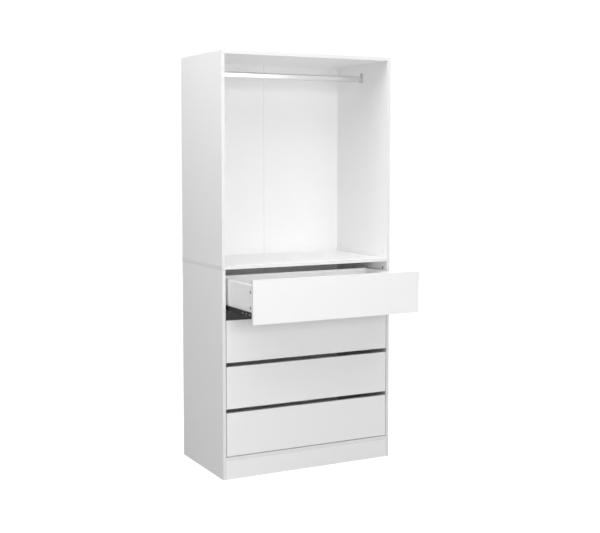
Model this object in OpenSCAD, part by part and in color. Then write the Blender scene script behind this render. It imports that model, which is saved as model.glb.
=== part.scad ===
// Open-front wardrobe: a unit of four drawers with an open hanging space on top of it.
// The origin is on the floor, at the middle of the front: X runs along the front, Y to the back, Z up.

/* [Carcass] */
// Width over the side panels
unit_w = 900; // [700:10:1200]
// Depth from the front edges to the rear face of the back
unit_d = 500; // [450:50:600]
// Height of the upper side panels
upper_side_h = 983; // [700:1:1200]
// Thickness of the coated chipboard
board_t = 16; // [15:0.5:19]
// Height of the plinth
plinth_h = 89; // [70:1:150]
// How far the middle panel stands out past each side panel
panel_overhang = 1; // [0:0.5:3]

/* [Back] */
// Thickness of the hardboard back
back_t = 3; // [2.5:0.5:5]
// How far the back stops short of the outer faces
back_margin = 2; // [1:0.5:4]
// Gap at the fold and between the upper and the lower back
back_gap = 0.6; // [0.4:0.2:1.2]
// Width of the tape behind a fold
tape_w = 40; // [25:5:60]
// Thickness of that tape
tape_t = 0.3; // [0.2:0.1:0.5]

/* [Drawers] */
// Height of a drawer front
front_h = 197; // [190:1:260]
// Finger gap above each drawer front
grip_gap = 19.5; // [15:0.5:30]
// How much further down the lowest drawer front reaches than the others
low_front_drop = 6; // [0:0.5:12]
// Gap under the lowest drawer front
base_gap = 4; // [2:0.5:8]
// Gap at each end of a drawer front
front_gap = 3; // [2:0.5:5]
// How far the drawer box stands above the lower edge of its front
box_lift = 31; // [24:1:40]
// Height of the sides of the drawer box
box_side_h = 139; // [124:1:150]
// Room behind the closed drawer boxes, in which the runners end
box_rear_gap = 31; // [28:1:60]
// Thickness of the drawer bottom
bottom_t = 3; // [2.5:0.5:5]
// Depth of the grooves round the drawer bottom
groove_d = 6; // [5:0.5:8]
// How far the grooves stand above the lower edge of the drawer box
groove_lift = 12; // [12:1:16]
// Length of a drawer box that stays in when the drawer is pulled right out
box_hold = 105; // [95:5:150]
// How far the top drawer stands open
top_drawer_open = 292; // [0:1:340]

/* [Runners] */
// Room for a runner at each side of a drawer box
runner_gap = 12.5; // [12.2:0.1:13.5]
// Gap between a drawer front and the cabinet rails behind it
rail_setback = 2; // [1:0.5:5]
// Thickness of the rail steel
steel_t = 1.2; // [1:0.1:1.4]
// Width of a cabinet rail, from the side panel inwards
rail_w = 9; // [8.8:0.1:9.2]
// How far a cabinet rail reaches below the drawer box
rail_drop = 4; // [3:0.5:5]
// Height of the lip that keeps a roller in its track
track_lip = 2.5; // [1.5:0.5:3]
// Gap between the cabinet rail and the flange of the drawer rail above it
flange_gap = 2.6; // [2:0.1:4]
// Width of the flange under the drawer side
foot_w = 11.5; // [8:0.5:14]
// Diameter of a roller
roller_d = 17; // [15:0.5:18]
// Width of a roller
roller_w = 5.6; // [5:0.1:5.8]
// Diameter of the pin that a roller turns on
roller_pin_d = 5; // [4:0.5:6]
// Diameter of the head of that pin and of its collar
roller_head_d = 8; // [7.5:0.5:9]
// Distance of a roller's pin from the end of its rail
roller_inset = 10; // [10:0.5:14]
// Running gap round what rolls or slides
run_gap = 0.3; // [0.2:0.05:0.4]
// Distance of the outer screws from the ends of a cabinet rail
rail_screw_inset = 50; // [40:5:60]
// Distance of the first and last screws from the ends of a drawer rail
drawer_screw_inset = 37; // [30:1:45]
// Spacing of the screws near the front of a drawer rail
drawer_screw_step = 38; // [32:1:50]

/* [Hanging rod] */
// Height of the oval rod
rod_h = 30; // [25:1:35]
// Width of the oval rod
rod_w = 15; // [12:1:18]
// Wall of the rod
rod_wall = 1; // [0.8:0.1:2]
// Depth of the middle of the rod below the top panel
rod_drop = 75; // [60:1:120]
// Thickness of a socket's plate
plate_t = 3; // [2.5:0.5:5]
// Width of that plate
plate_w = 24; // [22:1:30]
// How far the plate reaches above the middle of the rod
plate_rise = 33; // [32:1:40]
// Length of the cup that carries the rod's end
cup_l = 12; // [8:1:20]
// Wall of the cup
cup_wall = 2; // [1.5:0.5:3]

/* [Fittings] */
// Diameter of a cam lock
cam_d = 15; // [12:1:15]
// Depth of a cam lock
cam_depth = 12.5; // [11:0.5:13]
// Distance of a cam lock from the joint that it closes
cam_inset = 34; // [24:1:40]
// Diameter of a cam bolt
bolt_d = 6; // [5:0.5:6]
// How deep a cam bolt sits in the next board
bolt_grip = 11; // [9:0.5:12]
// Distance of the fittings from the front and rear edges
fitting_row = 37; // [32:1:60]
// Diameter of the cap over a cam lock
cap_d = 17; // [16:0.5:20]
// Thickness of that cap
cap_t = 1.2; // [0.8:0.1:2]
// Diameter of a wooden dowel
dowel_d = 8; // [6:1:8]
// Length of a wooden dowel
dowel_l = 30; // [25:1:35]
// How deep a dowel sits in the face of a board
dowel_seat = 11; // [9:0.5:12]
// Distance from a cam bolt to the nearest dowel
dowel_step = 64; // [32:1:96]
// Height of the lower cam bolt above the lower edge of a drawer side
box_cam_lift = 38; // [34:1:45]
// Spacing of the two cam bolts of a drawer side
box_cam_pitch = 70; // [60:2:74]
// Diameter of a chipboard screw
screw_d = 3.5; // [3:0.5:4]
// Diameter of the head of a chipboard screw
screw_head_d = 7; // [6:0.5:8]
// How deep a chipboard screw goes into a board
screw_grip = 12; // [10:0.5:13]
// Diameter of a screw that holds a drawer back
back_screw_d = 5; // [4:0.5:5]
// Diameter of the head of that screw
back_screw_head_d = 9.5; // [8:0.5:10]
// How deep that screw goes into the end of the drawer back
back_screw_grip = 34; // [25:1:45]
// Diameter of a nail of the back
nail_d = 1.6; // [1.2:0.2:2]
// Diameter of the head of a nail
nail_head_d = 4; // [3:0.5:5]
// Length of a nail
nail_l = 20; // [15:1:25]
// Spacing of the nails
nail_step = 150; // [120:5:200]

/* [Hidden] */
$fn = 48;
drawers = [1, 2, 3, 4];
drawer_parts = [
    "front", "left_side", "right_side", "back", "bottom", "rails", "cam_fittings", "screws", "rear_rollers"
];

// Colours
coated_white = [0.93, 0.93, 0.92];
hardboard_white = [0.91, 0.91, 0.9];
chrome = [0.76, 0.77, 0.79];
black_steel = [0.07, 0.07, 0.08];
zinc = [0.6, 0.61, 0.62];
bright_steel = [0.7, 0.71, 0.72];
nylon = [0.88, 0.88, 0.84];
beech = [0.8, 0.65, 0.45];
paper_tape = [0.84, 0.82, 0.76];

// Gap round a fitting in its hole, past its end, and round a cam bolt on its way to the cam
fit_gap = 0.1;
end_gap = 0.5;
bolt_hole_gap = 0.5;
// How far a cut runs past the face that it opens
open_cut = 1;

// Planes of the carcass
side_x = unit_w / 2;
inner_x = side_x - board_t;
body_d = unit_d - back_t;
pitch = front_h + grip_gap;
floor_z = plinth_h + board_t;
fronts_z = floor_z + base_gap + low_front_drop;
mid_z = fronts_z + len(drawers) * pitch;
shelf_z = mid_z + board_t;
unit_h = shelf_z + upper_side_h;
top_z = unit_h - board_t;
meet_z = mid_z + board_t / 2;

// Planes of a drawer, with the lowest drawer counted last
front_x = inner_x - front_gap;
box_x = inner_x - runner_gap;
box_inner_x = box_x - board_t;
box_rear_y = body_d - box_rear_gap;
runner_l = box_rear_y - board_t;
drawer_travel = runner_l - box_hold;
function front_z(n) = fronts_z + (len(drawers) - n) * pitch;
function front_foot(n) = front_z(n) - (n == len(drawers) ? low_front_drop : 0);
function box_z(n) = front_z(n) + box_lift;
function groove_z(n) = box_z(n) + groove_lift;
groove_gap = 0.4;
bottom_screw_step = box_inner_x * 2 / 3;
back_screw_inset = 25;

// Planes of a runner, in its own frame: x from the side panel inwards, z from the foot of the cabinet rail
function rail_z(n) = box_z(n) - rail_drop;
rail_y = board_t + rail_setback;
track_gap = 0.5;
track_top = steel_t + run_gap + roller_d + track_gap;
rail_h = track_top + steel_t;
flange_x = 2;
flange_z = rail_h + flange_gap;
web_x = runner_gap - steel_t;
foot_z = rail_drop - steel_t;
notch_gap = 1.5;
rail_notch_l = roller_inset + roller_d / 2 + notch_gap;
drawer_screw_lift = 8;
drawer_screw_y = concat(
    [for (k = [0:2]) drawer_screw_inset + k * drawer_screw_step],
    [runner_l - drawer_screw_inset]
);

// Rollers, their pins and their stops
collar_t = 1;
head_t = 1.2;
pin_fit = 0.08;
roller_edge = 0.6;
front_roller_x = steel_t + collar_t;
front_roller_z = flange_z - run_gap - roller_d / 2;
rear_roller_x = (rail_w + roller_w) / 2;
rear_roller_y = board_t + runner_l - roller_inset - rail_y;
rear_roller_z = steel_t + run_gap + roller_d / 2;
stop_gap = 0.5;
stop_w = 6;
rear_stop_y = rear_roller_y + roller_d / 2 + stop_gap;
front_stop_y = rear_roller_y - drawer_travel - roller_d / 2 - stop_gap;

// Rows of fittings along the depth
cam_rows = [fitting_row, body_d - fitting_row];
dowel_rows = [fitting_row + dowel_step, body_d - fitting_row - dowel_step];
upper_dowel_rows = [dowel_rows[0] + dowel_l, dowel_rows[1] - dowel_l];
plinth_dowel_inset = 20;
nail_row_gap = board_t / 4;

// Parts of the fittings
cam_slot_l = cam_d / 2;
cam_slot_w = 1.4;
cam_slot_depth = 2;
bolt_head_t = 2;
bolt_neck_l = 5;
twin_bolt_l = 2 * cam_inset + board_t;
nail_head_t = 0.8;
sink_t = 1;
pan_t = 1.4;
back_screw_head_t = 3.5;

// The hanging rod and its sockets
rod_y = body_d / 2;
rod_z = top_z - rod_drop;
rod_x = inner_x - plate_t - end_gap;
plate_rim = 1;
plate_foot = rod_h / 2 + run_gap + cup_wall + plate_rim;
socket_screw_z = [-rod_h / 4, plate_rise - plate_w / 3];

// General shapes
module block(from, to) {
    translate(from)
        cube(to - from);
}

module both_sides() {
    children();
    mirror([1, 0, 0])
        children();
}

module rod_along_x(d, from, to) {
    translate([from, 0, 0])
        rotate([0, 90, 0])
            cylinder(d = d, h = to - from);
}

module along_y(l) {
    translate([0, l, 0])
        rotate([90, 0, 0])
            linear_extrude(l)
                children();
}

module oval(l, w) {
    square([l - w, w], center = true);
    for (s = [-1, 1])
        translate([s * (l - w) / 2, 0])
            circle(d = w);
}

// A fitting's own frame: +Z leaves the face that it is set in, and a cam bolt leaves along +X
module top_panel_cams() {
    for (y = cam_rows)
        translate([inner_x - cam_inset, y, top_z])
            rotate([180, 0, 0])
                children();
}

module bottom_panel_cams() {
    for (y = cam_rows)
        translate([inner_x - cam_inset, y, plinth_h])
            rotate([180, 0, 0])
                children();
}

module plinth_cams() {
    translate([inner_x - cam_inset, board_t, plinth_h / 2])
        rotate([-90, 0, 0])
            children();
}

module lower_side_cams() {
    for (y = cam_rows)
        translate([inner_x, y, mid_z - cam_inset])
            rotate([0, -90, 0])
                children();
}

module upper_side_cams() {
    for (y = cam_rows)
        translate([inner_x, y, shelf_z + cam_inset])
            mirror([0, 0, 1])
                rotate([0, -90, 0])
                    children();
}

module drawer_cams(n) {
    for (z = [box_cam_lift, box_cam_lift + box_cam_pitch])
        translate([box_x, board_t + cam_inset, box_z(n) + z])
            rotate([-90, 0, 0])
                rotate([0, 90, 0])
                    children();
}

module panel_dowels(z) {
    for (y = dowel_rows)
        translate([inner_x, y, z + board_t / 2])
            rotate([0, 90, 0])
                children();
}

module plinth_dowels() {
    for (z = [plinth_dowel_inset, plinth_h - plinth_dowel_inset])
        translate([inner_x, board_t / 2, z])
            rotate([0, 90, 0])
                children();
}

module lower_side_dowels() {
    for (y = dowel_rows)
        translate([inner_x + board_t / 2, y, mid_z])
            children();
}

module upper_side_dowels() {
    for (y = upper_dowel_rows)
        translate([inner_x + board_t / 2, y, shelf_z])
            mirror([0, 0, 1])
                children();
}

module side_nails(from, to) {
    for (z = [from + nail_step / 2 : nail_step : to - nail_step / 4])
        translate([side_x - board_t / 2, unit_d, z])
            rotate([90, 0, 0])
                children();
}

module panel_nails(z) {
    for (x = [nail_step / 2 : nail_step : inner_x - nail_step / 4])
        translate([x, unit_d, z])
            rotate([90, 0, 0])
                children();
}

module upper_back_nails() {
    side_nails(shelf_z, top_z)
        children();
    panel_nails(top_z + board_t / 2)
        children();
    panel_nails(meet_z + nail_row_gap)
        children();
}

module lower_back_nails() {
    side_nails(floor_z, mid_z)
        children();
    panel_nails(plinth_h + board_t / 2)
        children();
    panel_nails(meet_z - nail_row_gap)
        children();
}

module rail_screws() {
    for (n = drawers, y = [rail_screw_inset, runner_l / 2, runner_l - rail_screw_inset])
        translate([inner_x, rail_y + y, rail_z(n) + rail_h / 2])
            rotate([0, -90, 0])
                children();
}

module socket_screws() {
    for (z = socket_screw_z)
        translate([inner_x, rod_y, rod_z + z])
            rotate([0, -90, 0])
                children();
}

module drawer_rail_screws(n) {
    for (y = drawer_screw_y)
        translate([inner_x - web_x, board_t + y, box_z(n) + drawer_screw_lift])
            rotate([0, 90, 0])
                children();
}

module drawer_back_screws(n) {
    for (z = [box_cam_lift, box_side_h - back_screw_inset])
        translate([box_x, box_rear_y - board_t / 2, box_z(n) + z])
            rotate([0, 90, 0])
                children();
}

module drawer_bottom_screws(n) {
    for (x = [-bottom_screw_step, 0, bottom_screw_step])
        translate([x, box_rear_y - board_t / 2, groove_z(n)])
            rotate([180, 0, 0])
                children();
}

// Fittings and the holes that they sit in
module cam_pocket() {
    translate([0, 0, -cam_depth])
        cylinder(d = cam_d, h = cam_depth + open_cut);
    translate([0, 0, -board_t / 2])
        rod_along_x(bolt_d + 2 * bolt_hole_gap, 0, cam_inset + open_cut);
}

module bolt_seat() {
    translate([0, 0, -board_t / 2])
        rod_along_x(bolt_d + 2 * fit_gap, cam_inset - open_cut, cam_inset + bolt_grip + end_gap);
}

module twin_bolt_hole() {
    translate([0, 0, -board_t / 2])
        rod_along_x(bolt_d + 2 * bolt_hole_gap, cam_inset - open_cut, cam_inset + board_t + open_cut);
}

module cam_lock() {
    difference() {
        translate([0, 0, -cam_depth])
            cylinder(d = cam_d - 2 * fit_gap, h = cam_depth - 2 * fit_gap);
        translate([0, 0, -board_t / 2])
            rod_along_x(bolt_d + 2 * bolt_hole_gap, -bolt_d / 2, cam_d);
        for (turn = [0, 90])
            rotate(turn)
                cube([cam_slot_l, cam_slot_w, 2 * cam_slot_depth], center = true);
    }
}

module bolt_end() {
    translate([0, 0, -board_t / 2]) {
        rod_along_x(bolt_d, -bolt_head_t / 2, bolt_head_t / 2);
        rod_along_x(bolt_d / 2, 0, bolt_neck_l);
    }
}

module cam_bolt() {
    bolt_end();
    translate([0, 0, -board_t / 2]) {
        rod_along_x(bolt_d - bolt_hole_gap, bolt_neck_l, cam_inset);
        rod_along_x(bolt_d, cam_inset, cam_inset + bolt_grip);
    }
}

module twin_bolt() {
    bolt_end();
    translate([twin_bolt_l, 0, 0])
        mirror([1, 0, 0])
            bolt_end();
    translate([0, 0, -board_t / 2])
        rod_along_x(bolt_d - bolt_hole_gap, bolt_neck_l, twin_bolt_l - bolt_neck_l);
}

module cam_cap() {
    rotate_extrude()
        polygon([[0, 0], [cap_d / 2, 0], [cap_d / 2, cap_t / 2], [cap_d / 2 - cap_t / 2, cap_t], [0, cap_t]]);
}

module dowel() {
    translate([0, 0, dowel_seat - dowel_l])
        cylinder(d = dowel_d, h = dowel_l);
}

module dowel_hole() {
    translate([0, 0, dowel_seat - dowel_l - end_gap])
        cylinder(d = dowel_d + 2 * fit_gap, h = dowel_l + 2 * end_gap);
}

module nail() {
    cylinder(d = nail_head_d, h = nail_head_t);
    cylinder(d = nail_d, h = nail_l);
}

module nail_hole() {
    translate([0, 0, -open_cut])
        cylinder(d = nail_head_d + 2 * fit_gap, h = nail_head_t + open_cut);
    cylinder(d = nail_d + fit_gap, h = nail_l + end_gap);
}

module flush_screw(t) {
    translate([0, 0, -screw_grip])
        cylinder(d = screw_d, h = screw_grip + t - sink_t);
    translate([0, 0, t - sink_t])
        cylinder(d1 = screw_d, d2 = screw_head_d, h = sink_t);
}

module flush_screw_hole(t) {
    translate([0, 0, -screw_grip - end_gap])
        cylinder(d = screw_d + 2 * fit_gap, h = screw_grip + end_gap + t + open_cut);
    translate([0, 0, t - sink_t])
        cylinder(d1 = screw_d + 2 * fit_gap, d2 = screw_head_d + 2 * fit_gap, h = sink_t);
    translate([0, 0, t])
        cylinder(d = screw_head_d + 2 * fit_gap, h = open_cut);
}

module pan_screw(grip) {
    translate([0, 0, -grip])
        cylinder(d = screw_d, h = grip);
    cylinder(d1 = screw_head_d, d2 = screw_head_d - pan_t, h = pan_t);
}

module pan_screw_hole(grip) {
    translate([0, 0, -grip - end_gap])
        cylinder(d = screw_d + 2 * fit_gap, h = grip + end_gap + open_cut);
}

module back_screw() {
    translate([0, 0, -back_screw_head_t])
        cylinder(d = back_screw_head_d, h = back_screw_head_t);
    translate([0, 0, -board_t - back_screw_grip])
        cylinder(d = back_screw_d, h = board_t + back_screw_grip);
}

module back_screw_hole() {
    translate([0, 0, -back_screw_head_t])
        cylinder(d = back_screw_head_d + 2 * fit_gap, h = back_screw_head_t + open_cut);
    translate([0, 0, -board_t - back_screw_grip - end_gap])
        cylinder(d = back_screw_d + 2 * fit_gap, h = board_t + back_screw_grip + end_gap);
}

// Carcass boards
module upper_right_side() {
    difference() {
        color(coated_white)
            block([inner_x, 0, shelf_z], [side_x, body_d, unit_h]);
        upper_side_cams()
            cam_pocket();
        upper_side_dowels()
            dowel_hole();
        top_panel_cams()
            bolt_seat();
        panel_dowels(top_z)
            dowel_hole();
        upper_back_nails()
            nail_hole();
        socket_screws()
            flush_screw_hole(plate_t);
    }
}

module upper_left_side() {
    mirror([1, 0, 0])
        upper_right_side();
}

module top_panel() {
    difference() {
        color(coated_white)
            block([-inner_x, 0, top_z], [inner_x, body_d, unit_h]);
        both_sides() {
            top_panel_cams()
                cam_pocket();
            panel_dowels(top_z)
                dowel_hole();
            upper_back_nails()
                nail_hole();
        }
    }
}

module lower_right_side() {
    difference() {
        color(coated_white)
            block([inner_x, 0, 0], [side_x, body_d, mid_z]);
        lower_side_cams()
            cam_pocket();
        lower_side_dowels()
            dowel_hole();
        bottom_panel_cams()
            bolt_seat();
        plinth_cams()
            bolt_seat();
        panel_dowels(plinth_h)
            dowel_hole();
        plinth_dowels()
            dowel_hole();
        lower_back_nails()
            nail_hole();
        rail_screws()
            flush_screw_hole(steel_t);
    }
}

module lower_left_side() {
    mirror([1, 0, 0])
        lower_right_side();
}

module middle_panel() {
    difference() {
        color(coated_white)
            block([-side_x - panel_overhang, 0, mid_z], [side_x + panel_overhang, body_d, shelf_z]);
        both_sides() {
            lower_side_cams()
                twin_bolt_hole();
            lower_side_dowels()
                dowel_hole();
            upper_side_dowels()
                dowel_hole();
            upper_back_nails()
                nail_hole();
            lower_back_nails()
                nail_hole();
        }
    }
}

module bottom_panel() {
    difference() {
        color(coated_white)
            block([-inner_x, 0, plinth_h], [inner_x, body_d, floor_z]);
        both_sides() {
            bottom_panel_cams()
                cam_pocket();
            panel_dowels(plinth_h)
                dowel_hole();
            lower_back_nails()
                nail_hole();
        }
    }
}

module plinth() {
    difference() {
        color(coated_white)
            block([-inner_x, 0, 0], [inner_x, board_t, plinth_h]);
        both_sides() {
            plinth_cams()
                cam_pocket();
            plinth_dowels()
                dowel_hole();
        }
    }
}

// Backs, each folded in the middle for the box it comes in
module upper_back() {
    both_sides()
        difference() {
            color(hardboard_white)
                block([back_gap / 2, body_d, meet_z + back_gap / 2],
                      [side_x - back_margin, unit_d, unit_h - back_margin]);
            upper_back_nails()
                nail_hole();
        }
}

module lower_back() {
    both_sides()
        difference() {
            color(hardboard_white)
                block([back_gap / 2, body_d, plinth_h + back_margin],
                      [side_x - back_margin, unit_d, meet_z - back_gap / 2]);
            lower_back_nails()
                nail_hole();
        }
}

module back_fold_tapes() {
    color(paper_tape) {
        block([-tape_w / 2, unit_d, meet_z + back_gap / 2], [tape_w / 2, unit_d + tape_t, unit_h - back_margin]);
        block([-tape_w / 2, unit_d, plinth_h + back_margin], [tape_w / 2, unit_d + tape_t, meet_z - back_gap / 2]);
    }
}

// Hanging rod, dropped into open cups
module hanging_rod() {
    color(chrome)
        translate([0, rod_y, rod_z])
            rotate([0, -90, 0])
                linear_extrude(2 * rod_x, center = true)
                    difference() {
                        oval(rod_h, rod_w);
                        oval(rod_h - 2 * rod_wall, rod_w - 2 * rod_wall);
                    }
}

module rod_socket() {
    linear_extrude(plate_t)
        translate([(plate_rise - plate_foot) / 2, 0])
            oval(plate_rise + plate_foot, plate_w);
    linear_extrude(plate_t + cup_l)
        difference() {
            oval(rod_h + 2 * run_gap + 2 * cup_wall, rod_w + 2 * run_gap + 2 * cup_wall);
            oval(rod_h + 2 * run_gap, rod_w + 2 * run_gap);
            translate([cup_wall, -plate_w])
                square(2 * plate_w);
        }
}

module rod_sockets() {
    color(zinc)
        both_sides()
            difference() {
                translate([inner_x, rod_y, rod_z])
                    rotate([0, -90, 0])
                        rod_socket();
                socket_screws()
                    flush_screw_hole(plate_t);
            }
}

// Fittings of the carcass
module cam_locks() {
    color(zinc)
        both_sides() {
            top_panel_cams()
                cam_lock();
            upper_side_cams()
                cam_lock();
            lower_side_cams()
                cam_lock();
            bottom_panel_cams()
                cam_lock();
            plinth_cams()
                cam_lock();
        }
}

module cam_bolts() {
    color(bright_steel)
        both_sides() {
            top_panel_cams()
                cam_bolt();
            lower_side_cams()
                twin_bolt();
            bottom_panel_cams()
                cam_bolt();
            plinth_cams()
                cam_bolt();
        }
}

module cam_caps() {
    color(coated_white)
        both_sides() {
            top_panel_cams()
                cam_cap();
            upper_side_cams()
                cam_cap();
        }
}

module wood_dowels() {
    color(beech)
        both_sides() {
            panel_dowels(top_z)
                dowel();
            upper_side_dowels()
                dowel();
            lower_side_dowels()
                dowel();
            panel_dowels(plinth_h)
                dowel();
            plinth_dowels()
                dowel();
        }
}

module back_nails() {
    color(bright_steel)
        both_sides() {
            upper_back_nails()
                nail();
            lower_back_nails()
                nail();
        }
}

module carcass_screws() {
    color(bright_steel)
        both_sides() {
            rail_screws()
                flush_screw(steel_t);
            socket_screws()
                flush_screw(plate_t);
        }
}

// Runners: a cabinet rail with a roller at its front, and a drawer rail with one at its rear.
// In a runner's frame, x runs from the side panel to the drawer and z starts at the foot of the cabinet rail.
module cabinet_rail_frame(n) {
    translate([inner_x, rail_y, rail_z(n)])
        mirror([1, 0, 0])
            children();
}

module drawer_rail_frame(n) {
    translate([inner_x, board_t, rail_z(n)])
        mirror([1, 0, 0])
            children();
}

// A riveted pin: its collar, its shank and the head that keeps the roller on
module roller_pin(reach) {
    rod_along_x(roller_head_d, -steel_t / 2, reach - run_gap);
    rod_along_x(roller_pin_d, 0, reach + roller_w - head_t);
    rod_along_x(roller_head_d, reach + roller_w - head_t - run_gap, reach + roller_w - run_gap);
}

module roller() {
    rotate([0, 90, 0])
        rotate_extrude()
            polygon([
                [roller_pin_d / 2 + pin_fit, 0],
                [roller_d / 2 - roller_edge, 0],
                [roller_d / 2, roller_edge],
                [roller_d / 2, roller_w - roller_edge],
                [roller_d / 2 - roller_edge, roller_w],
                [roller_head_d / 2 + run_gap, roller_w],
                [roller_head_d / 2 + run_gap, roller_w - head_t - 2 * run_gap],
                [roller_pin_d / 2 + pin_fit, roller_w - head_t - 2 * run_gap]
            ]);
}

module cabinet_rail() {
    difference() {
        union() {
            along_y(runner_l) {
                square([steel_t, rail_h]);
                square([rail_w, steel_t]);
                translate([0, track_top])
                    square([rail_w, steel_t]);
                translate([rail_w - steel_t, 0])
                    square([steel_t, steel_t + track_lip]);
            }
            block([0, front_stop_y - steel_t, rear_roller_z], [stop_w, front_stop_y, rail_h]);
            block([0, rear_stop_y, 0], [stop_w, rear_stop_y + steel_t, rear_roller_z]);
        }
        block([steel_t, -open_cut, rail_h / 2], [rail_w + open_cut, rail_notch_l, rail_h + open_cut]);
    }
    translate([steel_t, roller_inset, front_roller_z])
        roller_pin(front_roller_x - steel_t);
}

module cabinet_rails() {
    color(black_steel)
        both_sides()
            difference() {
                for (n = drawers)
                    cabinet_rail_frame(n)
                        cabinet_rail();
                rail_screws()
                    flush_screw_hole(steel_t);
            }
}

module front_rollers(n) {
    color(nylon)
        both_sides()
            cabinet_rail_frame(n)
                translate([front_roller_x, roller_inset, front_roller_z])
                    roller();
}

module drawer_rail() {
    along_y(runner_l) {
        translate([web_x, foot_z])
            square([steel_t, flange_z + steel_t - foot_z]);
        translate([flange_x, flange_z])
            square([runner_gap - flange_x, steel_t]);
        translate([web_x, foot_z])
            square([steel_t + foot_w, steel_t]);
    }
    translate([web_x, runner_l - roller_inset, rear_roller_z])
        mirror([1, 0, 0])
            roller_pin(web_x - rear_roller_x);
}

// Drawers, counted from the top
module pulled_out(n) {
    translate([0, n == 1 ? -top_drawer_open : 0, 0])
        children();
}

module bottom_groove(n) {
    block([-box_inner_x - groove_d, board_t - groove_d, groove_z(n)],
          [box_inner_x + groove_d, box_rear_y + open_cut, groove_z(n) + bottom_t + groove_gap]);
}

module drawer_front(n) {
    color(coated_white)
        pulled_out(n)
            difference() {
                block([-front_x, 0, front_foot(n)], [front_x, board_t, front_z(n) + front_h]);
                bottom_groove(n);
                both_sides()
                    drawer_cams(n)
                        bolt_seat();
            }
}

module drawer_right_side(n) {
    color(coated_white)
        pulled_out(n)
            difference() {
                block([box_inner_x, board_t, box_z(n)], [box_x, box_rear_y, box_z(n) + box_side_h]);
                bottom_groove(n);
                drawer_cams(n)
                    cam_pocket();
                drawer_rail_screws(n)
                    pan_screw_hole(steel_t + screw_grip);
                drawer_back_screws(n)
                    back_screw_hole();
            }
}

module drawer_left_side(n) {
    mirror([1, 0, 0])
        drawer_right_side(n);
}

module drawer_back(n) {
    color(coated_white)
        pulled_out(n)
            difference() {
                block([-box_inner_x, box_rear_y - board_t, groove_z(n) + bottom_t],
                      [box_inner_x, box_rear_y, box_z(n) + box_side_h]);
                both_sides()
                    drawer_back_screws(n)
                        back_screw_hole();
                drawer_bottom_screws(n)
                    pan_screw_hole(bottom_t + screw_grip);
            }
}

module drawer_bottom(n) {
    color(hardboard_white)
        pulled_out(n)
            difference() {
                block([-box_inner_x - groove_d + end_gap, board_t - groove_d + end_gap, groove_z(n)],
                      [box_inner_x + groove_d - end_gap, box_rear_y, groove_z(n) + bottom_t]);
                drawer_bottom_screws(n)
                    pan_screw_hole(bottom_t + screw_grip);
            }
}

module drawer_rails(n) {
    color(black_steel)
        pulled_out(n)
            both_sides()
                difference() {
                    drawer_rail_frame(n)
                        drawer_rail();
                    drawer_rail_screws(n)
                        pan_screw_hole(steel_t + screw_grip);
                }
}

module drawer_cam_fittings(n) {
    color(zinc)
        pulled_out(n)
            both_sides()
                drawer_cams(n) {
                    cam_lock();
                    cam_bolt();
                }
}

module drawer_screws(n) {
    color(bright_steel)
        pulled_out(n) {
            both_sides() {
                drawer_rail_screws(n)
                    pan_screw(steel_t + screw_grip);
                drawer_back_screws(n)
                    back_screw();
            }
            drawer_bottom_screws(n)
                pan_screw(bottom_t + screw_grip);
        }
}

module drawer_rear_rollers(n) {
    color(nylon)
        pulled_out(n)
            both_sides()
                drawer_rail_frame(n)
                    translate([rear_roller_x, runner_l - roller_inset, rear_roller_z])
                        mirror([1, 0, 0])
                            roller();
}

upper_left_side();
upper_right_side();
top_panel();
upper_back();
hanging_rod();
rod_sockets();
lower_left_side();
lower_right_side();
middle_panel();
bottom_panel();
plinth();
lower_back();
back_fold_tapes();
cabinet_rails();
cam_locks();
cam_bolts();
cam_caps();
wood_dowels();
back_nails();
carcass_screws();
for (n = drawers) {
    front_rollers(n);
    drawer_front(n);
    drawer_left_side(n);
    drawer_right_side(n);
    drawer_back(n);
    drawer_bottom(n);
    drawer_rails(n);
    drawer_cam_fittings(n);
    drawer_screws(n);
    drawer_rear_rollers(n);
}
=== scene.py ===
# Looks of an open-front wardrobe: white coated boards, a chromed rod and black runners, the top drawer out
import math

import bmesh
import bpy
from mathutils import Matrix, Vector


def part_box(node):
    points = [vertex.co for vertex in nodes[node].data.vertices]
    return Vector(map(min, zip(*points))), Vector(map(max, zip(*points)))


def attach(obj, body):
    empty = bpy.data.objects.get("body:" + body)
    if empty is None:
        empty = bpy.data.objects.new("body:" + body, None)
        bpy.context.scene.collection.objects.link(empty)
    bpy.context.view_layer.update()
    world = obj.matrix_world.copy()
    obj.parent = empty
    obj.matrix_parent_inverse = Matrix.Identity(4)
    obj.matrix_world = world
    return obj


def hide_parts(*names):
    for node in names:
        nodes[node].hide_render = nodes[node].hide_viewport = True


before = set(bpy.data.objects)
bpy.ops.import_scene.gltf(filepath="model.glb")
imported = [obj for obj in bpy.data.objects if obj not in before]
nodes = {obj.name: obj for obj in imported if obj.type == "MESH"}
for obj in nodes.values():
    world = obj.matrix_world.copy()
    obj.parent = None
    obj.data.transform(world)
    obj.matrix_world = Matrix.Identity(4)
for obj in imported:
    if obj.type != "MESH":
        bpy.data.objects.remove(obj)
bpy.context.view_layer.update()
mm = 0.001
drawers = (1, 2, 3, 4)


def linear(hexColour):  # sRGB hex to the linear colour that the shaders take
    channels = [int(hexColour[i:i + 2], 16) / 255 for i in (1, 3, 5)]
    return [c / 12.92 if c <= 0.04045 else ((c + 0.055) / 1.055) ** 2.4 for c in channels] + [1]


def addNode(tree, kind, settings=None, inputs=None):  # a node with its settings, its inputs set or linked
    node = tree.nodes.new(kind)
    for name, value in (settings or {}).items():
        setattr(node, name, value)
    for name, value in (inputs or {}).items():
        if isinstance(value, bpy.types.NodeSocket):
            tree.links.new(value, node.inputs[name])
        else:
            node.inputs[name].default_value = value
    return node


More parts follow.
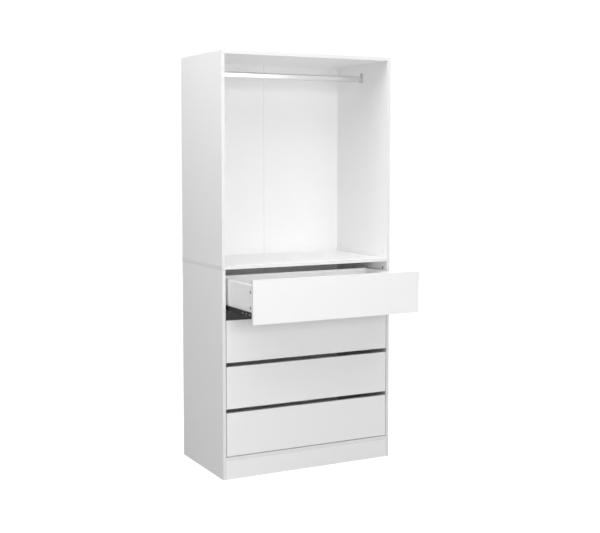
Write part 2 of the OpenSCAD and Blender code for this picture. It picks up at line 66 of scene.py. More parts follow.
def startMaterial(name, looks):  # a principled shader that holds every value that is the same all over
    material = bpy.data.materials.new(name)
    material.use_nodes = True
    tree = material.node_tree
    tree.nodes.clear()
    shader = addNode(tree, "ShaderNodeBsdfPrincipled", inputs=looks)
    addNode(tree, "ShaderNodeOutputMaterial", inputs={"Surface": shader.outputs["BSDF"]})
    coords = addNode(tree, "ShaderNodeTexCoord")
    return material, tree, shader, coords


def dress(names, material):  # gives CAD nodes a material in place of their plain one
    for name in names:
        mesh = nodes[name].data
        mesh.materials.clear()
        mesh.materials.append(material)


# Melamine-faced chipboard: decor paper pressed in resin, with a fine pearl grain and a soft even sheen,
# bands of a slightly greyer white along the edges that show, and bare chips where it was sawn or drilled.
# The bare strip along a sawn edge is partly real chipboard and partly painted shade: it darkens the joint
# under the board above
# The real pearl is too fine to show, so it is drawn coarser
coatedBoard = {
    "face": "#FAFAFA", "faceShade": "#F8F8F8", "band": "#EEEEEE", "bandLine": "#BDBBB7",
    "chipLight": "#C8A678", "chipDark": "#8C6841", "patch": 90 * mm, "grain": 0.9 * mm,
    "grainDepth": 0.012 * mm, "chip": 2.4 * mm, "chipDepth": 0.25 * mm,
    "bandThickness": 1.0 * mm, "bandSeam": 0.12 * mm,
    "ior": 1.5, "faceRoughness": 0.42, "coreRoughness": 0.92,
    "flat": 0.6,  # a surface is face where its normal points this much the face's way
    "skin": 0.8 * mm,  # how close to a banded edge a surface is part of the band
    "chipsAndSeamShade": 0.6 * mm,  # how far from a sawn edge the coating is left off: bare chips, and painted shade of the joint above
}


def makeCoatedBoard(name, thickness, banded, sawnAndShadedEdges=()):
    look = coatedBoard
    corners = dict(zip(("low", "high"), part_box(name)))
    material, tree, shader, coords = startMaterial("melamineBoard_" + name, {"IOR": look["ior"]})
    place = addNode(tree, "ShaderNodeSeparateXYZ", inputs={0: coords.outputs["Object"]})
    across = addNode(tree, "ShaderNodeVectorMath", {"operation": "ABSOLUTE"}, {0: coords.outputs["Normal"]})
    facing = addNode(tree, "ShaderNodeSeparateXYZ", inputs={0: across.outputs[0]})
    onFace = addNode(tree, "ShaderNodeMath", {"operation": "GREATER_THAN"},
                     {0: facing.outputs[thickness], 1: look["flat"]})
    bands, seams = [], []
    for axis, end in banded:
        edge = corners[end]["XYZ".index(axis)]
        seamAt = edge + look["bandThickness"] * (-1 if end == "high" else 1)
        onBand = addNode(tree, "ShaderNodeMath", {"operation": "COMPARE"},
                         {0: place.outputs[axis], 1: edge, 2: look["skin"]})
        seam = addNode(tree, "ShaderNodeMath", {"operation": "COMPARE"},
                       {0: place.outputs[axis], 1: seamAt, 2: look["bandSeam"] / 2})
        bands.append(onBand.outputs[0])
        seams.append(seam.outputs[0])
    for marks in (bands, seams):
        while len(marks) > 1:
            both = addNode(tree, "ShaderNodeMath", {"operation": "MAXIMUM"},
                           {0: marks.pop(), 1: marks.pop()})
            marks.append(both.outputs[0])
    coated = addNode(tree, "ShaderNodeMath", {"operation": "MAXIMUM"},
                     {0: onFace.outputs[0], 1: bands[0]}).outputs[0]
    # a dark strip of bare core along each sawn edge: real chips, and also painted shade where the edge runs
    # under the next board
    for axis, end in sawnAndShadedEdges:
        chipsAndSeamShade = addNode(tree, "ShaderNodeMath", {"operation": "COMPARE"},
                          {0: place.outputs[axis], 1: corners[end]["XYZ".index(axis)], 2: look["chipsAndSeamShade"]})
        coated = addNode(tree, "ShaderNodeMath", {"operation": "SUBTRACT", "use_clamp": True},
                         {0: coated, 1: chipsAndSeamShade.outputs[0]}).outputs[0]
    patches = addNode(tree, "ShaderNodeTexNoise", inputs={
        "Vector": coords.outputs["Object"], "Scale": 1 / look["patch"], "Detail": 2})
    face = addNode(tree, "ShaderNodeMix", {"data_type": "RGBA"},
                   {0: patches.outputs[0], 6: linear(look["face"]), 7: linear(look["faceShade"])})
    face = addNode(tree, "ShaderNodeMix", {"data_type": "RGBA"},
                   {0: bands[0], 6: face.outputs[2], 7: linear(look["band"])})
    face = addNode(tree, "ShaderNodeMix", {"data_type": "RGBA"},
                   {0: seams[0], 6: face.outputs[2], 7: linear(look["bandLine"])})
    chips = addNode(tree, "ShaderNodeTexVoronoi", inputs={
        "Vector": coords.outputs["Object"], "Scale": 1 / look["chip"]})
    shade = addNode(tree, "ShaderNodeSeparateXYZ", inputs={0: chips.outputs["Color"]})
    core = addNode(tree, "ShaderNodeMix", {"data_type": "RGBA"},
                   {0: shade.outputs[0], 6: linear(look["chipDark"]), 7: linear(look["chipLight"])})
    colour = addNode(tree, "ShaderNodeMix", {"data_type": "RGBA"},
                     {0: coated, 6: core.outputs[2], 7: face.outputs[2]})
    sheen = addNode(tree, "ShaderNodeMix", inputs={
        0: coated, 2: look["coreRoughness"], 3: look["faceRoughness"]})
    grain = addNode(tree, "ShaderNodeTexNoise", inputs={
        "Vector": coords.outputs["Object"], "Scale": 1 / look["grain"], "Detail": 1})
    pearl = addNode(tree, "ShaderNodeMath", {"operation": "MULTIPLY"},
                    {0: grain.outputs[0], 1: look["grainDepth"] / look["chipDepth"]})
    height = addNode(tree, "ShaderNodeMix", inputs={
        0: coated, 2: chips.outputs["Distance"], 3: pearl.outputs[0]})
    bump = addNode(tree, "ShaderNodeBump", inputs={
        "Height": height.outputs[0], "Distance": look["chipDepth"]})
    tree.links.new(colour.outputs[2], shader.inputs["Base Color"])
    tree.links.new(sheen.outputs[0], shader.inputs["Roughness"])
    tree.links.new(bump.outputs[0], shader.inputs["Normal"])
    dress([name], material)


# Hardboard: pressed wood fibre, lacquered white on the side that shows and bare brown behind
hardboard = {
    "lacquer": "#F4F4F4", "lacquerShade": "#F2F2F2", "fibreLight": "#7A6C5E", "fibreDark": "#54493E",
    "fibre": 1.6 * mm, "fibreStretch": 5, "fibreDepth": 0.06 * mm, "relief": 0.5,
    "ior": 1.5, "lacquerRoughness": 0.48, "bareRoughness": 0.8,
    "flat": 0.6,  # a surface is lacquered where its normal points this much the white side's way
}


def makeHardboard(name, axis, whiteSide):
    look = hardboard
    material, tree, shader, coords = startMaterial("hardboard_" + name, {"IOR": look["ior"]})
    facing = addNode(tree, "ShaderNodeSeparateXYZ", inputs={0: coords.outputs["Normal"]})
    toWhite = addNode(tree, "ShaderNodeMath", {"operation": "MULTIPLY"},
                      {0: facing.outputs[axis], 1: whiteSide})
    white = addNode(tree, "ShaderNodeMath", {"operation": "GREATER_THAN"},
                    {0: toWhite.outputs[0], 1: look["flat"]})
    stretched = addNode(tree, "ShaderNodeVectorMath", {"operation": "MULTIPLY"},
                        {0: coords.outputs["Object"], 1: (1, 1, 1 / look["fibreStretch"])})
    fibres = addNode(tree, "ShaderNodeTexNoise", inputs={
        "Vector": stretched.outputs[0], "Scale": 1 / look["fibre"], "Detail": 4})
    lacquer = addNode(tree, "ShaderNodeMix", {"data_type": "RGBA"},
                      {0: fibres.outputs[0], 6: linear(look["lacquer"]), 7: linear(look["lacquerShade"])})
    bare = addNode(tree, "ShaderNodeMix", {"data_type": "RGBA"},
                   {0: fibres.outputs[0], 6: linear(look["fibreDark"]), 7: linear(look["fibreLight"])})
    colour = addNode(tree, "ShaderNodeMix", {"data_type": "RGBA"},
                     {0: white.outputs[0], 6: bare.outputs[2], 7: lacquer.outputs[2]})
    sheen = addNode(tree, "ShaderNodeMix", inputs={
        0: white.outputs[0], 2: look["bareRoughness"], 3: look["lacquerRoughness"]})
    bump = addNode(tree, "ShaderNodeBump", inputs={
        "Height": fibres.outputs[0], "Distance": look["fibreDepth"], "Strength": look["relief"]})
    tree.links.new(colour.outputs[2], shader.inputs["Base Color"])
    tree.links.new(sheen.outputs[0], shader.inputs["Roughness"])
    tree.links.new(bump.outputs[0], shader.inputs["Normal"])
    dress([name], material)


# Chromed steel tube: a mirror-bright plating over rolled steel, with hardly any drawing lines left.
# The real lines are too fine to show, so they are drawn coarser
chromedTube = {"colour": "#DBDBDB", "smooth": 0.1, "lined": 0.2, "line": 0.6 * mm, "stretch": 60}


def makeChromedTube(names):
    look = chromedTube
    material, tree, shader, coords = startMaterial(
        "chromedSteelTube", {"Base Color": linear(look["colour"]), "Metallic": 1})
    drawn = addNode(tree, "ShaderNodeVectorMath", {"operation": "MULTIPLY"},
                    {0: coords.outputs["Object"], 1: (1 / look["stretch"], 1, 1)})
    lines = addNode(tree, "ShaderNodeTexNoise", inputs={
        "Vector": drawn.outputs[0], "Scale": 1 / look["line"]})
    sheen = addNode(tree, "ShaderNodeMapRange", inputs={
        "Value": lines.outputs[0], "To Min": look["smooth"], "To Max": look["lined"]})
    tree.links.new(sheen.outputs[0], shader.inputs["Roughness"])
    dress(names, material)


# Cast and plated zinc: a satin skin with the orange-peel of a die casting, drawn coarser so that it shows
castZinc = {
    "plated": {"colour": "#C6C8CA", "shade": "#B4B6B9", "smooth": 0.24, "rough": 0.36},
    "plain": {"colour": "#B0B1B3", "shade": "#8F9194", "smooth": 0.38, "rough": 0.55},
    "peel": 0.7 * mm, "peelDepth": 0.03 * mm,
}


def makeCastZinc(names, finish):
    look = castZinc[finish]
    material, tree, shader, coords = startMaterial("dieCastZinc_" + finish, {"Metallic": 1})
    peel = addNode(tree, "ShaderNodeTexNoise", inputs={
        "Vector": coords.outputs["Object"], "Scale": 1 / castZinc["peel"], "Detail": 3})
    colour = addNode(tree, "ShaderNodeMix", {"data_type": "RGBA"},
                     {0: peel.outputs[0], 6: linear(look["shade"]), 7: linear(look["colour"])})
    sheen = addNode(tree, "ShaderNodeMapRange", inputs={
        "Value": peel.outputs[0], "To Min": look["smooth"], "To Max": look["rough"]})
    bump = addNode(tree, "ShaderNodeBump", inputs={
        "Height": peel.outputs[0], "Distance": castZinc["peelDepth"]})
    tree.links.new(colour.outputs[2], shader.inputs["Base Color"])
    tree.links.new(sheen.outputs[0], shader.inputs["Roughness"])
    tree.links.new(bump.outputs[0], shader.inputs["Normal"])
    dress(names, material)


# Bright zinc-plated steel: cold-formed fasteners with a thin, faintly streaked plating, the streaks
# drawn coarser so that they show
platedSteel = {"colour": "#CDD0D3", "shade": "#A9ABAE", "streak": 0.5 * mm, "smooth": 0.2, "rough": 0.38}


def makePlatedSteel():
    look = platedSteel
    material, tree, shader, coords = startMaterial("zincPlatedSteel", {"Metallic": 1})
    streaks = addNode(tree, "ShaderNodeTexNoise", inputs={
        "Vector": coords.outputs["Object"], "Scale": 1 / look["streak"], "Detail": 2})
    colour = addNode(tree, "ShaderNodeMix", {"data_type": "RGBA"},
                     {0: streaks.outputs[0], 6: linear(look["shade"]), 7: linear(look["colour"])})
    sheen = addNode(tree, "ShaderNodeMapRange", inputs={
        "Value": streaks.outputs[0], "To Min": look["smooth"], "To Max": look["rough"]})
    tree.links.new(colour.outputs[2], shader.inputs["Base Color"])
    tree.links.new(sheen.outputs[0], shader.inputs["Roughness"])
    return material


# Powder-coated steel: a matt black skin baked on the rolled rails, thick enough to flow into a fine peel
powderCoat = {"colour": "#070708", "shade": "#0F0F10", "peel": 1.1 * mm, "peelDepth": 0.04 * mm,
              "ior": 1.5, "shine": 0.3, "smooth": 0.55, "rough": 0.72}


def makePowderCoat(names):
    look = powderCoat
    material, tree, shader, coords = startMaterial(
        "powderCoatedSteel", {"IOR": look["ior"], "Specular IOR Level": look["shine"]})
    peel = addNode(tree, "ShaderNodeTexNoise", inputs={
        "Vector": coords.outputs["Object"], "Scale": 1 / look["peel"], "Detail": 2})
    colour = addNode(tree, "ShaderNodeMix", {"data_type": "RGBA"},
                     {0: peel.outputs[0], 6: linear(look["colour"]), 7: linear(look["shade"])})
    sheen = addNode(tree, "ShaderNodeMapRange", inputs={
        "Value": peel.outputs[0], "To Min": look["smooth"], "To Max": look["rough"]})
    bump = addNode(tree, "ShaderNodeBump", inputs={
        "Height": peel.outputs[0], "Distance": look["peelDepth"]})
    tree.links.new(colour.outputs[2], shader.inputs["Base Color"])
    tree.links.new(sheen.outputs[0], shader.inputs["Roughness"])
    tree.links.new(bump.outputs[0], shader.inputs["Normal"])
    dress(names, material)


# Moulded plastics: nylon for the rollers, a little milky, and glossier polypropylene for the caps
mouldedPlastic = {
    "nylon": {"colour": "#E9E7DE", "shade": "#DEDBCF", "ior": 1.53, "depth": 0.12,
              "smooth": 0.34, "rough": 0.46},
    "polypropylene": {"colour": "#F3F3F3", "shade": "#EDEDED", "ior": 1.49, "depth": 0.05,
                      "smooth": 0.26, "rough": 0.34},
    "flow": 1.5 * mm, "scatter": 1.0 * mm,
}


def makeMouldedPlastic(names, kind):
    look = mouldedPlastic[kind]
    material, tree, shader, coords = startMaterial(
        "moulded_" + kind, {"IOR": look["ior"], "Subsurface Weight": look["depth"],
                            "Subsurface Scale": mouldedPlastic["scatter"]})
    flow = addNode(tree, "ShaderNodeTexNoise", inputs={
        "Vector": coords.outputs["Object"], "Scale": 1 / mouldedPlastic["flow"], "Detail": 2})
    colour = addNode(tree, "ShaderNodeMix", {"data_type": "RGBA"},
                     {0: flow.outputs[0], 6: linear(look["shade"]), 7: linear(look["colour"])})
    sheen = addNode(tree, "ShaderNodeMapRange", inputs={
        "Value": flow.outputs[0], "To Min": look["smooth"], "To Max": look["rough"]})
    tree.links.new(colour.outputs[2], shader.inputs["Base Color"])
    tree.links.new(sheen.outputs[0], shader.inputs["Roughness"])
    dress(names, material)


# Beech: turned dowels, pale pink-brown with short darker flecks
beech = {"light": "#D9B788", "dark": "#B98D5C", "fleck": 0.5 * mm, "stretch": 6, "depth": 0.05 * mm,
         "ior": 1.5, "roughness": 0.65}


def makeBeech(names):
    look = beech
    material, tree, shader, coords = startMaterial(
        "beech", {"IOR": look["ior"], "Roughness": look["roughness"]})
    stretched = addNode(tree, "ShaderNodeVectorMath", {"operation": "MULTIPLY"},
                        {0: coords.outputs["Object"], 1: (1 / look["stretch"], 1, 1 / look["stretch"])})
    flecks = addNode(tree, "ShaderNodeTexNoise", inputs={
        "Vector": stretched.outputs[0], "Scale": 1 / look["fleck"], "Detail": 3})
    colour = addNode(tree, "ShaderNodeMix", {"data_type": "RGBA"},
                     {0: flecks.outputs[0], 6: linear(look["dark"]), 7: linear(look["light"])})
    bump = addNode(tree, "ShaderNodeBump", inputs={
        "Height": flecks.outputs[0], "Distance": look["depth"]})
    tree.links.new(colour.outputs[2], shader.inputs["Base Color"])
    tree.links.new(bump.outputs[0], shader.inputs["Normal"])
    dress(names, material)


# Gummed paper tape: creped kraft paper, whitish, with fibres that catch the light
paperTape = {"light": "#DDD6C6", "dark": "#C9C0AC", "crepe": 1.2 * mm, "depth": 0.08 * mm,
             "ior": 1.5, "roughness": 0.85}


def makePaperTape(names):
    look = paperTape
    material, tree, shader, coords = startMaterial(
        "gummedPaperTape", {"IOR": look["ior"], "Roughness": look["roughness"]})
    crepe = addNode(tree, "ShaderNodeTexNoise", inputs={
        "Vector": coords.outputs["Object"], "Scale": 1 / look["crepe"], "Detail": 5})
    colour = addNode(tree, "ShaderNodeMix", {"data_type": "RGBA"},
                     {0: crepe.outputs[0], 6: linear(look["dark"]), 7: linear(look["light"])})
    bump = addNode(tree, "ShaderNodeBump", inputs={
        "Height": crepe.outputs[0], "Distance": look["depth"]})
    tree.links.new(colour.outputs[2], shader.inputs["Base Color"])
    tree.links.new(bump.outputs[0], shader.inputs["Normal"])
    dress(names, material)


# A coated board's call gives the axis through its thickness, its banded edges and then its sawn ones,
# and a hardboard's gives the axis through it and which way its white side faces
for side in ("left", "right"):
    makeCoatedBoard(f"upper_{side}_side", 0, [("Y", "low"), ("Z", "low"), ("Z", "high")])
    # the lower side's sawn top runs under the middle panel, and its bare strip there is also painted shade
    # of that joint
    makeCoatedBoard(f"lower_{side}_side", 0, [("Y", "low")], [("Z", "high")])
makeCoatedBoard("top_panel", 2, [("Y", "low")])
makeCoatedBoard("middle_panel", 2, [("Y", "low"), ("X", "low"), ("X", "high")])
makeCoatedBoard("bottom_panel", 2, [("Y", "low")])
makeCoatedBoard("plinth", 1, [("Z", "low")])
for n in drawers:
    makeCoatedBoard(f"drawer_{n}_front", 1, [("X", "low"), ("X", "high"), ("Z", "low"), ("Z", "high")])
    makeCoatedBoard(f"drawer_{n}_left_side", 0, [("Z", "high")])
    makeCoatedBoard(f"drawer_{n}_right_side", 0, [("Z", "high")])
    makeCoatedBoard(f"drawer_{n}_back", 1, [("Z", "high")])
    makeHardboard(f"drawer_{n}_bottom", "Z", 1)
makeHardboard("upper_back", "Y", -1)
makeHardboard("lower_back", "Y", -1)
makeChromedTube(["hanging_rod"])
makeCastZinc(["rod_sockets"], "plated")
makeCastZinc(["cam_locks"] + [f"drawer_{n}_cam_fittings" for n in drawers], "plain")
makePowderCoat(["cabinet_rails"] + [f"drawer_{n}_rails" for n in drawers])
rollers = [f"front_rollers_{n}" for n in drawers] + [f"drawer_{n}_rear_rollers" for n in drawers]
makeMouldedPlastic(rollers, "nylon")
makeMouldedPlastic(["cam_caps"], "polypropylene")
makeBeech(["wood_dowels"])
makePaperTape(["back_fold_tapes"])
steel = makePlatedSteel()
dress(["cam_bolts", "back_nails"], steel)
print("materials are on")


# Screws: cold-headed with a pressed recess and rolled with a thread, in the places of the plain ones.
# Bare lengths are shares: of the shank's radius for thread, point and tip, of the head's for the rest
screwForm = {
    "around": 16, "ringsPerTurn": 4, "threadDepth": 0.16, "pointLength": 2.4, "pointRings": 4, "tip": 0.12,
    "turned": 2.4, "sharpFrom": math.radians(32), "sink": 0.3 * mm, "taper": 0.55,
    "sunk": {"recess": "cross", "reach": 0.56, "arm": 0.16, "deep": 0.43, "pitch": 1.6 * mm},
    "pan": {"recess": "cross", "reach": 0.46, "arm": 0.14, "deep": 0.46, "pitch": 1.6 * mm,
            "flatTop": 0.5, "steps": 4},
    "straight": {"recess": "hexagon", "reach": 0.49, "deep": 0.55, "pitch": 3 * mm, "chamfer": 0.3 * mm},
}

# What tells the plain screws apart: a pan head narrows towards its top, and a straight one is long
plainScrew = {"sameCorner": 0.005 * mm, "sameRadius": 0.05 * mm, "onTop": 0.01 * mm, "pointFrom": 0.95,
              "narrowTop": 0.95, "longHead": 3 * mm}


def looseSolids(name):  # the points of each solid of a node, solid by solid
    mesh = bmesh.new()
    mesh.from_mesh(nodes[name].data)
    bmesh.ops.remove_doubles(mesh, verts=mesh.verts, dist=plainScrew["sameCorner"])
    left = set(mesh.verts)
    solids = []
    while left:
        waiting = [left.pop()]
        points = []
        while waiting:
            point = waiting.pop()
            points.append(point.co.copy())
            near = [edge.other_vert(point) for edge in point.link_edges]
            fresh = [other for other in near if other in left]
            left.difference_update(fresh)
            waiting += fresh
        solids.append(points)
    mesh.free()
    return solids


def measureScrew(points):  # the size, place and direction of a screw's head and shank
    low = Vector([min(point[i] for point in points) for i in range(3)])
    high = Vector([max(point[i] for point in points) for i in range(3)])
    along = max(range(3), key=lambda i: high[i] - low[i])
    length = high[along] - low[along]
    centre = (low + high) / 2
    offset = [point - centre for point in points]
    height = [step[along] for step in offset]
    radius = [math.sqrt(max(step.length_squared - step[along] ** 2, 0)) for step in offset]
    wide = max(radius)
    outward = 1 if height[radius.index(wide)] > 0 else -1
    sizes = [(r, length / 2 - outward * h) for r, h in zip(radius, height)]
    shank = max(r for r, depth in sizes if depth > plainScrew["pointFrom"] * length)
    head = min(depth for r, depth in sizes if abs(r - shank) < plainScrew["sameRadius"])
    topRadius = max(r for r, depth in sizes if depth < plainScrew["onTop"])
    axis = Vector([outward * (i == along) for i in range(3)])
    kind = "straight" if head > plainScrew["longHead"] else "sunk"
    if topRadius < plainScrew["narrowTop"] * wide:
        kind = "pan"
    return {"top": centre + axis * (length / 2), "axis": axis, "wide": wide, "shank": shank, "head": head,
            "length": length, "kind": kind}


def headProfile(screw):  # radius and depth, from the edge of the flat top down to the shank
    look = screwForm[screw["kind"]]
    wide, head = screw["wide"], screw["head"]
    if screw["kind"] == "sunk":
        return [(wide, 0)]
    if screw["kind"] == "straight":
        return [(wide - look["chamfer"], 0), (wide, look["chamfer"]), (wide, head)]
    flat = look["flatTop"]
    turns = [i / look["steps"] * math.pi / 2 for i in range(look["steps"] + 1)]
    return [(wide * (flat + (1 - flat) * math.sin(t)), head * (1 - math.cos(t))) for t in turns]


def recessOutline(look, wide):
    reach = look["reach"] * wide
    if look["recess"] == "hexagon":
        return [(reach * math.cos(i * math.pi / 3), reach * math.sin(i * math.pi / 3)) for i in range(6)]
    arm = look["arm"] * wide
    quarter = [(arm, arm), (arm, reach), (-arm, reach)]
    turns = [Matrix.Rotation(i * math.pi / 2, 2) for i in range(4)]
    return [tuple(turn @ Vector(point)) for turn in turns for point in quarter]


def addScrew(form, screw, number):
    look = screwForm[screw["kind"]]
    shank, head, pitch = screw["shank"], screw["head"], look["pitch"]
    angles = [2 * math.pi * i / screwForm["around"] for i in range(screwForm["around"])]
    facing = screw["axis"].to_track_quat("Z", "Y").to_matrix().to_4x4()
    turn = Matrix.Rotation(number * screwForm["turned"], 4, "Z")  # no two recesses stop at the same angle
    place = Matrix.Translation(screw["top"]) @ facing @ turn

    def addPoint(x, y, depth):
        return form.verts.new(place @ Vector((x, y, -depth)))

    def addRing(radii, depth):
        return [addPoint(r * math.cos(a), r * math.sin(a), depth) for r, a in zip(radii, angles)]

    def join(upper, lower):
        for i in range(len(upper)):
            k = (i + 1) % len(upper)
            form.faces.new((upper[i], upper[k], lower[k], lower[i]))

    profile = headProfile(screw) + [(shank, head)]
    rings = [addRing([radius] * len(angles), depth) for radius, depth in profile]
    pointFrom = screw["length"] - screwForm["pointLength"] * shank
    steps = int((pointFrom - head) / pitch * screwForm["ringsPerTurn"])
    thread = [(1, head + (i + 1) * (pointFrom - head) / steps) for i in range(steps)]
    for i in range(1, screwForm["pointRings"]):
        along = i / screwForm["pointRings"]
        thread.append((1 - along, pointFrom + (screw["length"] - pointFrom) * along))
    for width, depth in thread:
        crest = shank * max(width, screwForm["tip"])
        valleys = [0.5 + 0.5 * math.cos(2 * math.pi * depth / pitch + a) for a in angles]
        radii = [crest * (1 - screwForm["threadDepth"] * valley) for valley in valleys]
        rings.append(addRing(radii, depth))
    for upper, lower in zip(rings, rings[1:]):
        join(upper, lower)
    tip = addPoint(0, 0, screw["length"])
    last = rings[-1]
    for i in range(len(last)):
        form.faces.new((last[i], last[(i + 1) % len(last)], tip))

    outline = recessOutline(look, screw["wide"])
    deep = look["deep"] * screw["wide"]
    mouth = [addPoint(x, y, 0) for x, y in outline]
    bed = [addPoint(x * screwForm["taper"], y * screwForm["taper"], deep) for x, y in outline]
    join(mouth, bed)
    centre = addPoint(0, 0, deep + screwForm["sink"])
    for i in range(len(bed)):
        form.faces.new((bed[i], bed[(i + 1) % len(bed)], centre))
    rim = []
    for loop in (rings[0], mouth):
        rim += [form.edges.get((loop[i], loop[(i + 1) % len(loop)])) for i in range(len(loop))]
    bmesh.ops.triangle_fill(form, use_beauty=True, edges=rim)


def makeScrews(name, body):
    form = bmesh.new()
    screws = [measureScrew(points) for points in looseSolids(name)]
    screws.sort(key=lambda screw: tuple(round(c, 6) for c in screw["top"]))
    for number, screw in enumerate(screws):
        addScrew(form, screw, number)
    bmesh.ops.recalc_face_normals(form, faces=form.faces)
    for face in form.faces:
        face.smooth = True
    for edge in form.edges:
        edge.smooth = edge.calc_face_angle(0) < screwForm["sharpFrom"]
    mesh = bpy.data.meshes.new(name + "_formed")
    form.to_mesh(mesh)
    form.free()
    mesh.materials.append(steel)
    piece = bpy.data.objects.new(name + "_formed", mesh)
    bpy.context.scene.collection.objects.link(piece)
    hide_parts(name)
    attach(piece, body)


makeScrews("carcass_screws", "carcass")
for n in drawers:
    makeScrews(f"drawer_{n}_screws", f"drawer_{n}")
print("screws are formed")


# Edges: the corners of the sawn and banded boards are scraped, and those of the cast sockets come out round
edgeRounding = {"board": 0.7 * mm, "casting": 0.35 * mm, "segments": 2, "sharpFrom": math.radians(40),
                "sameCorner": 0.005 * mm, "flatWeight": 100, "flatWithin": math.radians(0.5)}


def roundEdges(name, size):
    weld = nodes[name].modifiers.new("closedCorners", "WELD")  # corners that faces share become one point
    weld.merge_threshold = edgeRounding["sameCorner"]
    flats = nodes[name].modifiers.new("wholeFlats", "DECIMATE")  # a flat face's triangles become one face
    flats.decimate_type = "DISSOLVE"
    flats.angle_limit = edgeRounding["flatWithin"]
    bevel = nodes[name].modifiers.new("edgeRounding", "BEVEL")
    bevel.width = size
    bevel.segments = edgeRounding["segments"]
    bevel.limit_method = "ANGLE"
    bevel.angle_limit = edgeRounding["sharpFrom"]
    bevel.use_clamp_overlap = False
    evened = nodes[name].modifiers.new("flatFaces", "WEIGHTED_NORMAL")  # large faces keep their flat look
    evened.weight = edgeRounding["flatWeight"]


for name in nodes:
    drawerBack = name.startswith("drawer") and name.endswith("_back")
    if drawerBack or name.endswith(("_side", "_panel", "plinth", "_front")):
        roundEdges(name, edgeRounding["board"])
roundEdges("rod_sockets", edgeRounding["casting"])
print("edges are rounded")


# Studio: a pale floor that runs out to a white backdrop, with soft lights above and around the wardrobe.
# What shines reflects a room that is bright in front and darker behind
studio = {
    "floorSize": 60, "floorColour": "#B0B0B0", "floorRoughness": 0.9, "floorGlow": 1.0,
    "backdrop": "#FFFFFF", "backdropGlow": 1.03, "softness": 1.1,
    "mirrorFloor": 0.57, "mirrorFront": 0.85, "mirrorRear": 0.3, "frontTo": -0.3, "rearFrom": 0.4,
    "lights": {
        "tallFront": {"place": (-1.5, -12.0, 2.3), "aim": (0, 0, 1.1), "size": (3.0, 4.4), "power": 490},
        "frontRight": {"place": (1.75, -5.5, 1.5), "aim": (0, 0, 1.1), "size": (1.8, 2.6), "power": 23.5},
        "overhead": {"place": (-0.5, -1.5, 4.6), "aim": (-0.2, 0, 0), "size": (4.5, 4.5), "power": 142},
        "leftHigh": {"place": (-3.6, -0.6, 3.6), "aim": (-0.45, 0.2, 1.2), "size": (1.6, 1.6), "power": 45},
        "leftTop": {"place": (-1.9, 0.1, 2.9), "aim": (-0.45, 0.2, 1.2), "size": (0.8, 1.2), "power": 14},
        "rearRight": {"place": (5.0, 6.0, 2.6), "aim": (0, 0.3, 1.0), "size": (2.5, 2.5), "power": 230},
        "insideLeft": {"place": (-1.3, -1.6, 1.35), "aim": (0.3, 0.3, 1.85), "size": (0.8, 0.5), "power": 3},
        "bounce": {"place": (0.2, -1.9, 0.02), "aim": (0.2, -1.8, 3), "size": (2.6, 1.4), "power": 7.5},
    },
}


def makeBackdrop():
    world = bpy.data.worlds.new("backdrop")
    world.use_nodes = True
    tree = world.node_tree
    tree.nodes.clear()
    ray = addNode(tree, "ShaderNodeLightPath")
    coords = addNode(tree, "ShaderNodeTexCoord")
    aim = addNode(tree, "ShaderNodeSeparateXYZ", inputs={0: coords.outputs["Generated"]})
    room = addNode(tree, "ShaderNodeMapRange", inputs={
        "Value": aim.outputs["Y"], "From Min": studio["frontTo"], "From Max": studio["rearFrom"],
        "To Min": studio["mirrorFront"], "To Max": studio["mirrorRear"]})
    mirrored = addNode(tree, "ShaderNodeMath", {"operation": "MULTIPLY"},
                       {0: ray.outputs["Is Glossy Ray"], 1: room.outputs[0]})
    seen = addNode(tree, "ShaderNodeMath", {"operation": "MULTIPLY"},
                   {0: ray.outputs["Is Camera Ray"], 1: studio["backdropGlow"]})
    glow = addNode(tree, "ShaderNodeMath", {"operation": "MAXIMUM"},
                   {0: seen.outputs[0], 1: mirrored.outputs[0]})
    back = addNode(tree, "ShaderNodeBackground", inputs={
        "Color": linear(studio["backdrop"]), "Strength": glow.outputs[0]})
    addNode(tree, "ShaderNodeOutputWorld", inputs={"Surface": back.outputs[0]})
    bpy.context.scene.world = world


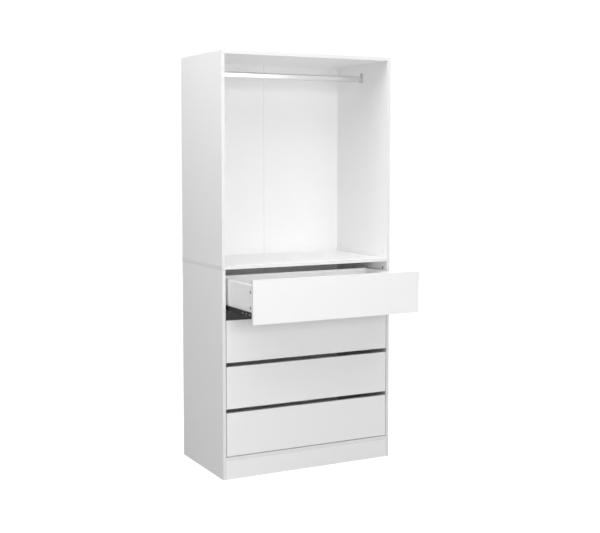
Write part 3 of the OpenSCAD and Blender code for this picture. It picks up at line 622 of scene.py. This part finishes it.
def makeFloor():
    half = studio["floorSize"] / 2
    corners = [(-half, -half, 0), (half, -half, 0), (half, half, 0), (-half, half, 0)]
    mesh = bpy.data.meshes.new("floor")
    mesh.from_pydata(corners, [], [(0, 1, 2, 3)])
    floor = bpy.data.objects.new("floor", mesh)
    bpy.context.scene.collection.objects.link(floor)
    material, tree, shader = startMaterial("mattFloor", {
        "Base Color": linear(studio["floorColour"]), "Roughness": studio["floorRoughness"],
        "Emission Color": linear(studio["backdrop"])})[:3]
    ray = addNode(tree, "ShaderNodeLightPath")
    mirrored = addNode(tree, "ShaderNodeMath", {"operation": "MULTIPLY"},
                       {0: ray.outputs["Is Glossy Ray"], 1: studio["mirrorFloor"]})
    seen = addNode(tree, "ShaderNodeMath", {"operation": "MAXIMUM"},
                   {0: ray.outputs["Is Camera Ray"], 1: mirrored.outputs[0]})
    glow = addNode(tree, "ShaderNodeMath", {"operation": "MULTIPLY"},
                   {0: seen.outputs[0], 1: studio["floorGlow"]})
    tree.links.new(glow.outputs[0], shader.inputs["Emission Strength"])
    mesh.materials.append(material)


def makeLights():
    for name, light in studio["lights"].items():
        data = bpy.data.lights.new(name, "AREA")
        data.shape = "RECTANGLE"
        data.size, data.size_y = light["size"]
        data.energy = light["power"]
        lamp = bpy.data.objects.new(name, data)
        bpy.context.scene.collection.objects.link(lamp)
        lamp.location = light["place"]
        towards = Vector(light["aim"]) - Vector(light["place"])
        lamp.rotation_euler = towards.to_track_quat("-Z", "Y").to_euler()


makeBackdrop()
makeFloor()
makeLights()
bpy.context.scene.view_settings.view_transform = "Standard"
bpy.context.scene.view_settings.gamma = studio["softness"]  # a product photograph's soft tones

# The photograph's viewpoint, fitted to the corners of the sides and of the open drawer
viewpoint = {"place": (-2.4171, -4.5464, 1.507), "turn": 27.51, "tilt": 3.89, "sensor": 36, "lens": 65.16,
             "rise": -0.0633}


def makeCamera():
    data = bpy.data.cameras.new("viewpoint")
    data.sensor_width = viewpoint["sensor"]
    data.lens = viewpoint["lens"]
    data.shift_y = viewpoint["rise"]
    camera = bpy.data.objects.new("viewpoint", data)
    bpy.context.scene.collection.objects.link(camera)
    camera.location = viewpoint["place"]
    camera.rotation_euler = (math.radians(90 - viewpoint["tilt"]), 0, -math.radians(viewpoint["turn"]))
    bpy.context.scene.camera = camera


makeCamera()
print("studio and camera are set")
